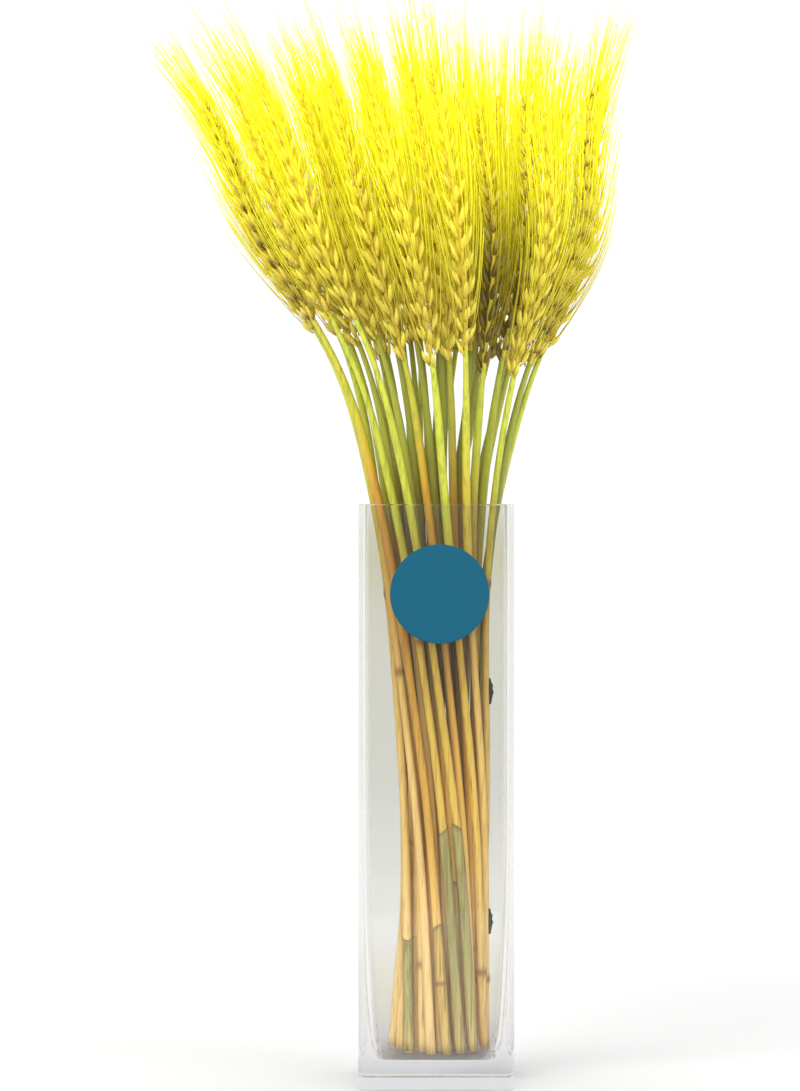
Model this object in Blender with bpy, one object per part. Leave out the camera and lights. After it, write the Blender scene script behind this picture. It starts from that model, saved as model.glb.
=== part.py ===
"""A bunch of bearded wheat, cut and dried, standing in a tall square glass vase with a round paper label.

Every stalk is one body: a culm with a knot, an ear of two alternating rows of spikelets, and its awns.
The origin is the centre of the vase's foot, +Z is up, and -Y is the face that carries the label.
"""

import cmath
import math
import random

import bmesh
import bpy
from mathutils import Vector
from mathutils.bvhtree import BVHTree

MM = 0.001

# Vase: a tall square tube of pressed glass with a thick foot
VASE_WIDTH = 80 * MM
VASE_HEIGHT = 300 * MM
VASE_CORNER = 6 * MM
VASE_WALL = 3.3 * MM
FOOT_CHAMFER = 1.5 * MM
RIM_ROUND = 0.9 * MM
FLOOR_HEIGHT = 15 * MM
CORNER_STEPS = 4
# The cavity from the rim down, as height and half width: the wall thickens towards the foot
CAVITY = (
    (VASE_HEIGHT - RIM_ROUND, VASE_WIDTH / 2 - VASE_WALL),
    (140 * MM, 36.6 * MM),
    (90 * MM, 36.2 * MM),
    (55 * MM, 35.4 * MM),
    (28 * MM, 34.2 * MM),
    (19 * MM, 32.7 * MM),
    (FLOOR_HEIGHT, 30.6 * MM),
)

# Label: a round paper sticker on the front face
LABEL_RADIUS = 25.4 * MM
LABEL_THICKNESS = 0.4 * MM
LABEL_CENTRE = (1.7 * MM, 254 * MM)
LABEL_SIDES = 48
CLEARANCE = 0.3 * MM

# Bunch: the stalks keep one pattern across the bunch, which turns and spreads with height
STALK_COUNT = 38
PATTERN_SEED = 18
PATTERN_TURN = math.radians(-160)
PATTERN_SPACING = 0.315
PATTERN_ROUNDS = 400
PATTERN_JITTER = 0.08
FOOT_SPREAD = 25.0 * MM
RIM_SPREAD = 30.0 * MM
FOOT_TURN = math.radians(36)
RIM_TURN = math.radians(-34)
FLARE_START = 220 * MM
FLARE_RATE = 0.68
FLARE_TURN = math.radians(-54)
# The outer ears lean out at their lower half and straighten towards their tips
SWELL = 13 * MM
SWELL_HEIGHT = 437 * MM
SWELL_REACH = 50 * MM
# The bunch's middle bows to the right low in the vase, and leans to the left from just below the ears
BOW_OFFSET = 4.8 * MM
BOW_HEIGHT = 130 * MM
BOW_REACH = 110 * MM
LEAN_START = 335 * MM
LEAN_RATE = 0.55
# Each stalk wanders a little about its seat
WANDER = 0.022
WANDER_LENGTH = (230 * MM, 380 * MM)

# Culm: the hollow stem below the ear
CULM_SIDES = 6
CULM_FOOT_RADIUS = 2.6 * MM
CULM_NECK_RADIUS = 1.35 * MM
KNOT_SWELL = 1.2
GREEN_FROM = 235 * MM
KNOT_HALF_LENGTH = 3.5 * MM
KNOT_CLEAR = 14 * MM
CULM_STATIONS = (0.30, 0.55, 0.72, 0.83, 0.93)
KNOT_HEIGHTS = ((46 * MM, 70 * MM), (200 * MM, 262 * MM))

# Ear: two rows of spikelets that overlap like scales. The ears on the right start lower
EAR_BASE = 375 * MM
EAR_BASE_RISE = 6 * MM
EAR_BASE_TILT = 8 * MM
EAR_BASE_JITTER = (-8 * MM, 14 * MM)
EAR_TOP = (496 * MM, 517 * MM)
EAR_HALF_WIDTH = 7.4 * MM
EAR_HALF_DEPTH = 5.8 * MM
EAR_STEPS = 16
EAR_ROLL = math.radians(60)
SCALE_LIFT = 0.78
EAR_BASE_NARROWING = 0.28
EAR_FULL_FROM = 0.25
EAR_TAPER_FROM = 0.45
# The corners of one spikelet level, anticlockwise: share of the half width, of the half depth and of the lift.
# The first, second and last belong to the open side, and the rest to the side that is shut at this level
LEVEL_CORNERS = (
    (1.0, 0.0, 1.0),
    (0.62, 0.95, 0.6),
    (-0.30, 0.62, 0.0),
    (-0.46, 0.0, -0.15),
    (-0.30, -0.62, 0.0),
    (0.62, -0.95, 0.6),
)
POINT_LENGTH = 8 * MM
POINT_RADIUS = 0.55 * MM

# Awns: one long bristle on each spikelet and one at the ear's end
AWN_LENGTH = (52 * MM, 72 * MM)
END_AWN_SHARE = 0.5
AWN_SHORTENING = 0.3
AWN_BASE = 0.75 * MM
AWN_LEANS = tuple(math.radians(lean) for lean in (9, 7.5, 6.5, 5.5, 4.5, 3.5))
AWN_SHORTER = (0.8, 0.62, 0.45)
AWN_ROOM = 1.3 * MM
AWN_STAND_OFF = 0.8 * MM
AWN_PROBE_STEPS = 40
AWN_PROBES = tuple(step / AWN_PROBE_STEPS for step in range(6, AWN_PROBE_STEPS + 1))
FIRST_AWN_LEVEL = 3

COLOURS = {
    "glass": ((0.93, 0.96, 0.96, 0.35), 0.03),
    "label": ((0.02, 0.22, 0.33, 1.0), 0.45),
    "straw": ((0.62, 0.42, 0.09, 1.0), 0.6),
    "culm": ((0.50, 0.52, 0.07, 1.0), 0.6),
    "ear": ((0.72, 0.60, 0.07, 1.0), 0.65),
    "awn": ((0.95, 0.88, 0.05, 1.0), 0.55),
}
STALK_MATERIALS = ("straw", "culm", "ear", "awn")


def clear_scene():
    for old in list(bpy.data.objects):
        bpy.data.objects.remove(old, do_unlink=True)


def make_materials():
    made = {}
    for name, (colour, roughness) in COLOURS.items():
        material = bpy.data.materials.new(name)
        material.use_nodes = True
        shader = material.node_tree.nodes["Principled BSDF"]
        shader.inputs["Base Color"].default_value = colour
        shader.inputs["Roughness"].default_value = roughness
        shader.inputs["Metallic"].default_value = 0.0
        made[name] = material
    made["glass"].node_tree.nodes["Principled BSDF"].inputs["Transmission Weight"].default_value = 1.0
    return made


def add_object(name, bm, materials):
    """Closes the bmesh into a named object whose faces point outwards."""
    bmesh.ops.triangulate(bm, faces=bm.faces[:])
    bmesh.ops.recalc_face_normals(bm, faces=bm.faces[:])
    mesh = bpy.data.meshes.new(name)
    bm.to_mesh(mesh)
    bm.free()
    for material in materials:
        mesh.materials.append(material)
    bpy.context.scene.collection.objects.link(bpy.data.objects.new(name, mesh))


def add_ring(bm, points):
    return [bm.verts.new(point) for point in points]


def join_rings(bm, lower, upper, material=0):
    """Quads between two rings with the same number of corners."""
    for k in range(len(lower)):
        following = (k + 1) % len(lower)
        face = bm.faces.new((lower[k], lower[following], upper[following], upper[k]))
        face.material_index = material


def rounded_square(half_width, corner, height):
    """Corners of a rounded square at one height, anticlockwise from above."""
    points = []
    for quarter in range(4):
        turn = quarter * math.pi / 2
        centre = cmath.rect(1, turn) * complex(half_width - corner, half_width - corner)
        for step in range(CORNER_STEPS + 1):
            angle = turn + step / CORNER_STEPS * math.pi / 2
            point = centre + cmath.rect(corner, angle)
            points.append(Vector((point.real, point.imag, height)))
    return points


def make_vase(material):
    """The vase's outline runs up its outside, over the rim and down the cavity to the floor."""
    half = VASE_WIDTH / 2
    inner_top = CAVITY[0][1]
    outline = [
        (0.0, half - FOOT_CHAMFER, VASE_CORNER - FOOT_CHAMFER),
        (FOOT_CHAMFER, half, VASE_CORNER),
        (VASE_HEIGHT - RIM_ROUND, half, VASE_CORNER),
        (VASE_HEIGHT, half - RIM_ROUND, VASE_CORNER - RIM_ROUND),
        (VASE_HEIGHT, inner_top + RIM_ROUND, VASE_CORNER - VASE_WALL + RIM_ROUND),
    ]
    cavity_corner = VASE_CORNER - VASE_WALL
    for height, half_width in CAVITY:
        outline.append((height, half_width, cavity_corner + (inner_top - half_width)))
    bm = bmesh.new()
    rings = [add_ring(bm, rounded_square(w, corner, z)) for z, w, corner in outline]
    for lower, upper in zip(rings, rings[1:]):
        join_rings(bm, lower, upper)
    bm.faces.new(list(reversed(rings[0])))
    bm.faces.new(rings[-1])
    add_object("vase", bm, [material])


def make_label(material):
    """A thin disc standing a hair clear of the front face."""
    bm = bmesh.new()
    back = -VASE_WIDTH / 2 - CLEARANCE
    x, z = LABEL_CENTRE
    rings = []
    for y in (back, back - LABEL_THICKNESS):
        corners = [cmath.rect(LABEL_RADIUS, k * math.tau / LABEL_SIDES) for k in range(LABEL_SIDES)]
        rings.append(add_ring(bm, [Vector((x + c.real, y, z + c.imag)) for c in corners]))
    join_rings(bm, rings[0], rings[1])
    bm.faces.new(rings[0])
    bm.faces.new(list(reversed(rings[1])))
    add_object("label", bm, [material])


def bunch_pattern():
    """Seats of the stalks in a unit disc, as complex numbers: a sunflower spiral pushed into an even, loose packing."""
    draw = random.Random(PATTERN_SEED)
    golden = math.pi * (3 - math.sqrt(5))
    seats = []
    for k in range(STALK_COUNT):
        jitter = cmath.rect(PATTERN_JITTER * draw.random(), math.tau * draw.random())
        seats.append(cmath.rect(math.sqrt((k + 0.5) / STALK_COUNT), k * golden) + jitter)
    widest = 1 - WANDER
    for _ in range(PATTERN_ROUNDS):
        for a in range(STALK_COUNT):
            for b in range(a + 1, STALK_COUNT):
                apart = seats[a] - seats[b]
                short = PATTERN_SPACING - abs(apart)
                if short > 0:
                    push = apart / abs(apart) * short / 2
                    seats[a] += push
                    seats[b] -= push
        seats = [seat * min(1.0, widest / abs(seat)) for seat in seats]
    return [seat * cmath.rect(1, PATTERN_TURN) for seat in seats]


def spread(height):
    """Size and turn of the bunch's cross-section at one height, as one complex factor."""
    share = (height - FLOOR_HEIGHT) / (VASE_HEIGHT - FLOOR_HEIGHT)
    straight = (1 - share) * cmath.rect(FOOT_SPREAD, FOOT_TURN) + share * cmath.rect(RIM_SPREAD, RIM_TURN)
    flare = FLARE_RATE * max(0.0, height - FLARE_START) ** 2
    swell = SWELL * math.exp(-(((height - SWELL_HEIGHT) / SWELL_REACH) ** 2))
    return straight + cmath.rect(flare + swell, FLARE_TURN)


class Stalk:
    """Where one stalk runs, and the sizes drawn for it."""

    def __init__(self, seat, draw):
        self.seat = seat
        self.wander = cmath.rect(WANDER, draw.uniform(0, math.tau))
        self.wave = math.tau / draw.uniform(*WANDER_LENGTH)
        self.phase = draw.uniform(0, math.tau)
        self.roll = draw.uniform(-EAR_ROLL, EAR_ROLL)
        sideways = (seat * cmath.rect(1, FLARE_TURN)).real
        self.base = EAR_BASE + EAR_BASE_RISE * (1 - abs(seat)) - EAR_BASE_TILT * sideways
        self.base += draw.uniform(*EAR_BASE_JITTER)
        self.rise = draw.uniform(*EAR_TOP) - self.base
        self.knot = draw.uniform(*draw.choice(KNOT_HEIGHTS))

    def at(self, height):
        """Centre of the stalk at one height."""
        seat = self.seat + self.wander * math.sin(self.wave * height + self.phase)
        point = spread(height) * seat
        bow = BOW_OFFSET * math.exp(-(((height - BOW_HEIGHT) / BOW_REACH) ** 2))
        lean = LEAN_RATE * max(0.0, height - LEAN_START) ** 2
        return Vector((point.real + bow - lean, point.imag, height))

    def frame(self, height):
        """Centre, tangent and the two cross directions at one height."""
        step = 1 * MM
        tangent = (self.at(height + step) - self.at(height - step)).normalized()
        width = Vector((math.cos(self.roll), math.sin(self.roll), 0))
        width = (width - tangent * width.dot(tangent)).normalized()
        return self.at(height), tangent, width, tangent.cross(width)

    def ring(self, height, radius, lift=0.0):
        """Corners of a round cross-section, lifted along the stalk."""
        centre, tangent, width, depth = self.frame(height)
        corners = [cmath.rect(radius, k * math.tau / CULM_SIDES) for k in range(CULM_SIDES)]
        return [centre + tangent * lift + width * c.real + depth * c.imag for c in corners]


def culm_rings(stalk):
    """Height and corners of each ring of the culm, with a swollen knot and a foot cut level."""
    foot = FLOOR_HEIGHT + CLEARANCE
    stations = [foot] + [foot + share * (stalk.base - foot) for share in CULM_STATIONS] + [stalk.base]
    stations = [z for z in stations if abs(z - stalk.knot) > KNOT_CLEAR]
    stations += [stalk.knot - KNOT_HALF_LENGTH, stalk.knot, stalk.knot + KNOT_HALF_LENGTH]
    rings = []
    for height in sorted(stations):
        share = (height - foot) / (stalk.base - foot)
        radius = CULM_FOOT_RADIUS + (CULM_NECK_RADIUS - CULM_FOOT_RADIUS) * share
        if height == stalk.knot:
            radius *= KNOT_SWELL
        rings.append((height, stalk.ring(height, radius)))
    for corner in rings[0][1]:
        corner.z = foot
    return rings


def ear_outline(share):
    """Relative size of the ear's spikelets from its base, 0, to its end, 1."""
    swelling = 1 - EAR_BASE_NARROWING * max(0.0, 1 - share / EAR_FULL_FROM) ** 2
    taper = 1 - max(0.0, share - EAR_TAPER_FROM)
    return swelling * taper


def ear_ring(stalk, level):
    """Corners of one spikelet level. Odd levels open to one side and even levels to the other."""
    share = level / EAR_STEPS
    size = ear_outline(share)
    side = 1 if level % 2 else -1
    lift_step = SCALE_LIFT * stalk.rise / EAR_STEPS
    centre, tangent, width, depth = stalk.frame(stalk.base + stalk.rise * share)
    corners = []
    for across, along, lift in LEVEL_CORNERS:
        offset = width * across * side * EAR_HALF_WIDTH + depth * along * side * EAR_HALF_DEPTH
        corners.append(centre + offset * size + tangent * lift * lift_step)
    half = CULM_SIDES // 2
    return corners if side > 0 else corners[half:] + corners[:half]


def awn_corner(level):
    """Which corner of a spikelet level carries the awn: the open side's three corners take turns."""
    turn = (0, 1, -1)[level // 2 % 3]
    return turn % CULM_SIDES if level % 2 else CULM_SIDES // 2 + turn


def has_room(stalks, own, ear, point):
    """Whether a point of an awn stands clear of its own ear, and stays in its own stalk's share of the bunch."""
    if ear.find_nearest(point)[3] < AWN_STAND_OFF:
        return False
    others = min((point - other.at(point.z)).length for other in stalks if other is not own)
    return others - (point - own.at(point.z)).length > 2 * AWN_ROOM


def fit_awn(stalks, own, ear, level, start, widest, length):
    """Lean and end point of an awn that follows its ear's bend, or no end point where no awn has room."""
    centre, tangent, _, _ = own.frame(own.base + own.rise * level / EAR_STEPS)
    outward = start - centre
    outward -= tangent * outward.dot(tangent)
    choices = [(lean, length) for lean in AWN_LEANS if lean <= widest]
    choices += [(AWN_LEANS[-1], length * share) for share in AWN_SHORTER]
    for lean, reach in choices:
        end = own.at(start.z + reach * tangent.z) + outward + outward.normalized() * reach * math.tan(lean)
        probes = [start.lerp(end, share) for share in AWN_PROBES]
        if all(has_room(stalks, own, ear, probe) for probe in probes):
            return lean, end
    return widest, None


def grow_awn(bm, corner, end):
    """Turns one corner of a spikelet into a tapering bristle."""
    cut = bmesh.ops.bevel(bm, geom=[corner], offset=AWN_BASE, affect="VERTICES", segments=1)
    cap = min(cut["faces"], key=lambda face: face.calc_area())
    poked = bmesh.ops.poke(bm, faces=[cap])
    poked["verts"][0].co = end
    for face in poked["faces"]:
        face.material_index = STALK_MATERIALS.index("awn")


def make_culm(bm, stalk):
    """The culm's wall, closed at the cut foot. Returns its last ring, which the ear grows from."""
    rings = [(height, add_ring(bm, corners)) for height, corners in culm_rings(stalk)]
    bm.faces.new(list(reversed(rings[0][1])))
    for (_, lower), (height, upper) in zip(rings, rings[1:]):
        join_rings(bm, lower, upper, STALK_MATERIALS.index("culm" if height > GREEN_FROM else "straw"))
    return rings[-1][1]


def make_ear(bm, stalk, neck, draw):
    """The ear's spikelets and its pointed end. Returns the corners that awns grow from, with their levels."""
    ear = STALK_MATERIALS.index("ear")
    last = neck
    carriers = []
    for level in range(1, EAR_STEPS + 1):
        ring = add_ring(bm, ear_ring(stalk, level))
        join_rings(bm, last, ring, ear)
        last = ring
        if FIRST_AWN_LEVEL <= level < EAR_STEPS:
            carriers.append((level, ring[awn_corner(level)]))
    top = stalk.base + stalk.rise
    tip = add_ring(bm, stalk.ring(top, POINT_RADIUS, POINT_LENGTH))
    join_rings(bm, last, tip, ear)
    end = bm.faces.new(tip)
    end.material_index = STALK_MATERIALS.index("awn")
    poked = bmesh.ops.poke(bm, faces=[end])
    poked["verts"][0].co += stalk.frame(top)[1] * draw.uniform(*AWN_LENGTH) * END_AWN_SHARE
    return carriers


def make_stalk(number, stalk, stalks, draw, materials):
    """One stalk, from its cut foot to the tips of its awns."""
    bm = bmesh.new()
    neck = make_culm(bm, stalk)
    carriers = make_ear(bm, stalk, neck, draw)
    ear = BVHTree.FromBMesh(bm)
    widest = {}
    for level, corner in carriers:
        place = awn_corner(level)
        start = corner.co.copy()
        length = draw.uniform(*AWN_LENGTH) * (1 - AWN_SHORTENING * level / EAR_STEPS)
        limit = widest.get(place, AWN_LEANS[0])
        widest[place], end = fit_awn(stalks, stalk, ear, level, start, limit, length)
        if end:
            grow_awn(bm, corner, end)
    add_object(f"wheat_stalk_{number:02d}", bm, materials)


def main():
    clear_scene()
    materials = make_materials()
    make_vase(materials["glass"])
    make_label(materials["label"])
    draw = random.Random(PATTERN_SEED)
    stalks = [Stalk(seat, draw) for seat in bunch_pattern()]
    stalk_materials = [materials[name] for name in STALK_MATERIALS]
    for number, stalk in enumerate(stalks, start=1):
        make_stalk(number, stalk, stalks, draw, stalk_materials)


main()
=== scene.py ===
"""The looks of a bunch of dried bearded wheat in a tall square glass vase with a round paper label.

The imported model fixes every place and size. Each stalk is made again along the same path, with all its husks,
bristles and leaf sheaths, and the vase and the label are made again with finer edges.
"""

import cmath
import math
import random

import bpy
import numpy as np
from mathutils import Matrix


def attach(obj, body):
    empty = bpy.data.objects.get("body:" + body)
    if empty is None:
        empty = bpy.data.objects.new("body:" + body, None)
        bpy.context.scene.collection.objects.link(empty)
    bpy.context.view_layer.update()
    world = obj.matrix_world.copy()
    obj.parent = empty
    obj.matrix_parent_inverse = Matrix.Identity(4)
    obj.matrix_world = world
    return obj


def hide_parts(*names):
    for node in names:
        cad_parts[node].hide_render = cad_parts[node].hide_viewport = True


MM = 0.001

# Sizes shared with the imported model: the vase
VASE_WIDTH = 80 * MM
VASE_HEIGHT = 300 * MM
VASE_CORNER = 6 * MM
VASE_WALL = 3.3 * MM
FOOT_ROUND = 1.5 * MM
RIM_ROUND = 0.9 * MM
FLOOR_HEIGHT = 15 * MM
# The cavity from below the rim down to its floor, as height and half width
CAVITY = (
    (VASE_HEIGHT - RIM_ROUND, VASE_WIDTH / 2 - VASE_WALL),
    (140 * MM, 36.6 * MM),
    (90 * MM, 36.2 * MM),
    (55 * MM, 35.4 * MM),
    (28 * MM, 34.2 * MM),
    (19 * MM, 32.7 * MM),
    (FLOOR_HEIGHT, 30.6 * MM),
)

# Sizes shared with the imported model: the label
LABEL_RADIUS = 25.4 * MM
LABEL_THICKNESS = 0.4 * MM
LABEL_CENTRE = (1.7 * MM, 254 * MM)
CLEARANCE = 0.3 * MM

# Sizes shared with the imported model: the course of the stalks
STALK_COUNT = 38
PATTERN_SEED = 18
PATTERN_TURN = math.radians(-160)
PATTERN_SPACING = 0.315
PATTERN_ROUNDS = 400
PATTERN_JITTER = 0.08
FOOT_SPREAD = 25.0 * MM
RIM_SPREAD = 30.0 * MM
FOOT_TURN = math.radians(36)
RIM_TURN = math.radians(-34)
FLARE_START = 220 * MM
FLARE_RATE = 0.68
FLARE_TURN = math.radians(-54)
SWELL = 13 * MM
SWELL_HEIGHT = 437 * MM
SWELL_REACH = 50 * MM
BOW_OFFSET = 4.8 * MM
BOW_HEIGHT = 130 * MM
BOW_REACH = 110 * MM
LEAN_START = 335 * MM
LEAN_RATE = 0.55
WANDER = 0.022
WANDER_LENGTH = (230 * MM, 380 * MM)
CULM_FOOT_RADIUS = 2.6 * MM
CULM_NECK_RADIUS = 1.35 * MM
KNOT_HEIGHTS = ((46 * MM, 70 * MM), (200 * MM, 262 * MM))
EAR_BASE = 375 * MM
EAR_BASE_RISE = 6 * MM
EAR_BASE_TILT = 8 * MM
EAR_BASE_JITTER = (-8 * MM, 14 * MM)
EAR_TOP = (496 * MM, 517 * MM)
EAR_ROLL = math.radians(60)
EAR_BASE_NARROWING = 0.28
EAR_FULL_FROM = 0.25
EAR_TAPER_FROM = 0.45

# Vase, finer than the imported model
CORNER_STEPS = 12
ROUND_STEPS = 5
CAVITY_ROUNDS = 3
FLOOR_RINGS = ((14.3 * MM, 25 * MM), (14.6 * MM, 16 * MM), (15.0 * MM, 7 * MM))

# Label
LABEL_SIDES = 128
LABEL_GAP = 0.05 * MM
LABEL_RINGS = 6

# Culm. The stalks on the left are more orange, and those on the right more green
SIDE_HUE = 0.3
HUE_JITTER = 0.4
CULM_SIDES = 12
CULM_STEP = 7 * MM
KNOT_SWELL = 0.24
KNOT_REACH = 2.4 * MM
SHEATH_THICKNESS = 0.26 * MM
SHEATH_CUT = 2.0 * MM
SHEATH_SHARE = 0.16
SHEATH_LENGTH = (50 * MM, 150 * MM)
# The upper leaf sheath, which hugs the culm closely and thickens it
WRAP_LOW = (215 * MM, 280 * MM)
WRAP_HIGH = (345 * MM, 372 * MM)
WRAP_THICKNESS = (0.15 * MM, 0.85 * MM)
WRAP_EASE = 6 * MM
# What the photograph shows on single stalks, by its place across the front and its height: the cut tops of
# grey-green sheaths, dark scraps of leaf with their direction, and ears darkened with painted shade, with its
# strength
SHOWN_SHEATHS = ((0.5 * MM, 132 * MM), (7.5 * MM, 134 * MM), (-19.5 * MM, 76 * MM))
SCRAPS = ((30 * MM, 203 * MM, math.radians(-20)), (27 * MM, 83 * MM, math.radians(-25)))
# Painted shade: the front ears at these places are painted dark where the bunch is in shade
SHADE_PAINTED_EARS = (
    (29 * MM, 405 * MM, 2.1),
    (40 * MM, 405 * MM, 1.4),
    (-98 * MM, 450 * MM, 0.9),
    (68 * MM, 420 * MM, 0.8),
)
FRONT_WEIGHT = 0.35
GREEN_SHEATH = 0.75
SCRAP_LENGTH = 13.5 * MM
SCRAP_WIDTH = 3.4 * MM
SCRAP_THICKNESS = 0.5 * MM
SCRAP_LIFT = 0.5 * MM
SCRAP_FACE = math.radians(-80)
SCRAP_TEETH = 0.3
SCRAP_RINGS = 12
SCRAP_SIDES = 10
SCRAP_TONE = 2.0
SCRAP_TEETH_WAVES = (19, 43)
SCRAP_CURL = -0.25

# Ear: husks in spikelets of six. Four of them have a bristle, and all six towards the ear's end
SPIKELETS = 24
HUSK_SIDES = 8
HUSK_LENGTH = 11.4 * MM
HUSK_WIDTH = 1.62 * MM
HUSK_DEPTH = 1.3 * MM
HUSK_BULGE = 0.55 * MM
HUSK_INNER_FLATNESS = 0.45
HUSK_KEEL = 1.16
HUSK_KEEL_PINCH = 0.9
HUSK_SIZES = (0.94, 1.06)
HUSK_AIM_JITTER = 7
HUSK_LEAN_JITTER = 3
HUSK_TONE_JITTER = 0.25
SPIKELET_TURN = 0.12
END_HUSKS = ((0.0, 4), (2.1, 12), (4.2, 12))
END_HUSK_SINK = 2 * MM
END_HUSK_REACH = 0.6 * MM
RACHIS_RADIUS = (1.2 * MM, 0.6 * MM)
RACHIS_ZIGZAG = 0.3 * MM
RACHIS_SIDES = 6
AWN_LENGTH = (52 * MM, 72 * MM)
AWN_SHORTENING = 0.3
AWN_RADIUS = (0.34 * MM, 0.12 * MM)
AWN_RINGS = 7
GLUME_AWN = 0.8
GLUME_AWNS_FROM = 0.5
AWN_SIDES = 3
AWN_LEAN = (math.radians(9), math.radians(3.5))
AWN_LEAN_JITTER = math.radians(2.5)
AWN_CURL = 0.05
AWN_SINK = 1.5 * MM
AWN_STAND_OFF = 0.9 * MM
AWN_EASE = 0.08
END_AWN_SHARE = 0.5
END_AWN_LEAN = math.radians(2)

# One spikelet's husks: place outwards, across and upwards in millimetres, lean and its direction in degrees,
# size, and the share of a full bristle's length
FLORETS = (
    {"out": 0.9, "across": -1.9, "rise": -1.6, "lean": 15, "aim": -62, "size": 0.80, "awn": 0.0},
    {"out": 0.9, "across": 1.9, "rise": -1.6, "lean": 15, "aim": 62, "size": 0.80, "awn": 0.0},
    {"out": 1.2, "across": -1.8, "rise": -0.4, "lean": 22, "aim": -58, "size": 0.98, "awn": 0.93},
    {"out": 1.2, "across": 1.8, "rise": -0.4, "lean": 22, "aim": 58, "size": 0.98, "awn": 0.93},
    {"out": 1.8, "across": -0.7, "rise": 1.0, "lean": 25, "aim": -18, "size": 1.0, "awn": 1.0},
    {"out": 1.8, "across": 0.7, "rise": 1.8, "lean": 24, "aim": 20, "size": 0.94, "awn": 0.9},
)

# Heights between which the ears' painted shade fades out, and the tones at which it starts and is full
EAR_SHADE_HEIGHTS = (468 * MM, 418 * MM)
EAR_SHADE_TONES = (1.4, 2.2)

# Floor
FLOOR_FRONT = -1.0
FLOOR_BACK = 30.0
FLOOR_HALF_WIDTH = 15.0
FLOOR_WHITE = 0.65
FLOOR_LEVEL = -0.1 * MM

# Light: the white room's brightness in front of the vase and behind it, and where one turns into the other,
# from -1 straight in front to 1 straight behind
WORLD_FRONT = 0.4
WORLD_BACK = 1.05
WORLD_TURN = (-0.995, -0.96)
SOFTNESS = math.radians(35)
FRONT_SOFTNESS = math.radians(14)
# Each lamp's name, turn from the front and rise in degrees, strength and softness
LAMPS = (
    ("key", -38, 40, 1.6, SOFTNESS),
    ("fill", 48, 18, 0.9, SOFTNESS),
    ("front", -4, 5, 1.2, FRONT_SOFTNESS),
    ("back", 165, 55, 0.5, SOFTNESS),
)
# Light passes many glass faces in the vase's edges, which would be black with fewer bounces
BOUNCES = 64

# Camera: level, straight at the front, far back
CAMERA_PLACE = (-18.6 * MM, -2.0, 278.8 * MM)
CAMERA_LENS = 126.5
CAMERA_SENSOR = 36.0


def unit(vector):
    return vector / np.linalg.norm(vector, axis=-1, keepdims=True)


# The course of the stalks


def bunch_pattern():
    """Seats of the stalks in a unit disc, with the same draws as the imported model."""
    draw = random.Random(PATTERN_SEED)
    golden = math.pi * (3 - math.sqrt(5))
    seats = []
    for k in range(STALK_COUNT):
        jitter = cmath.rect(PATTERN_JITTER * draw.random(), math.tau * draw.random())
        seats.append(cmath.rect(math.sqrt((k + 0.5) / STALK_COUNT), k * golden) + jitter)
    widest = 1 - WANDER
    for _ in range(PATTERN_ROUNDS):
        for a in range(STALK_COUNT):
            for b in range(a + 1, STALK_COUNT):
                apart = seats[a] - seats[b]
                short = PATTERN_SPACING - abs(apart)
                if short > 0:
                    push = apart / abs(apart) * short / 2
                    seats[a] += push
                    seats[b] -= push
        seats = [seat * min(1.0, widest / abs(seat)) for seat in seats]
    return [seat * cmath.rect(1, PATTERN_TURN) for seat in seats]


def spread(height):
    """Size and turn of the bunch's cross-section at each height, as complex factors."""
    share = (height - FLOOR_HEIGHT) / (VASE_HEIGHT - FLOOR_HEIGHT)
    straight = (1 - share) * cmath.rect(FOOT_SPREAD, FOOT_TURN) + share * cmath.rect(RIM_SPREAD, RIM_TURN)
    flare = FLARE_RATE * np.maximum(0.0, height - FLARE_START) ** 2
    swell = SWELL * np.exp(-(((height - SWELL_HEIGHT) / SWELL_REACH) ** 2))
    return straight + (flare + swell) * cmath.rect(1, FLARE_TURN)


class Stalk:
    """Where one stalk runs, and the sizes drawn for it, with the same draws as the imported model."""

    def __init__(self, number, seat, draw):
        self.number = number
        self.seat = seat
        self.wander = cmath.rect(WANDER, draw.uniform(0, math.tau))
        self.wave = math.tau / draw.uniform(*WANDER_LENGTH)
        self.phase = draw.uniform(0, math.tau)
        self.roll = draw.uniform(-EAR_ROLL, EAR_ROLL)
        self.sideways = (seat * cmath.rect(1, FLARE_TURN)).real
        self.base = EAR_BASE + EAR_BASE_RISE * (1 - abs(seat)) - EAR_BASE_TILT * self.sideways
        self.base += draw.uniform(*EAR_BASE_JITTER)
        self.rise = draw.uniform(*EAR_TOP) - self.base
        self.knot = draw.uniform(*draw.choice(KNOT_HEIGHTS))
        self.sheath_top = None
        self.scraps = []
        self.ear_shade = 0.0

    def at(self, height):
        """Centre of the stalk at each height."""
        height = np.asarray(height, dtype=float)
        seat = self.seat + self.wander * np.sin(self.wave * height + self.phase)
        point = spread(height) * seat
        bow = BOW_OFFSET * np.exp(-(((height - BOW_HEIGHT) / BOW_REACH) ** 2))
        lean = LEAN_RATE * np.maximum(0.0, height - LEAN_START) ** 2
        return np.stack([point.real + bow - lean, point.imag, height], axis=-1)

    def frame(self, height):
        """Centre, tangent and the two cross directions at each height."""
        step = 1 * MM
        height = np.asarray(height, dtype=float)
        tangent = unit(self.at(height + step) - self.at(height - step))
        flat = np.array([math.cos(self.roll), math.sin(self.roll), 0.0])
        width = unit(flat - tangent * np.sum(tangent * flat, axis=-1, keepdims=True))
        return self.at(height), tangent, width, np.cross(tangent, width)


# Mesh building


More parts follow.
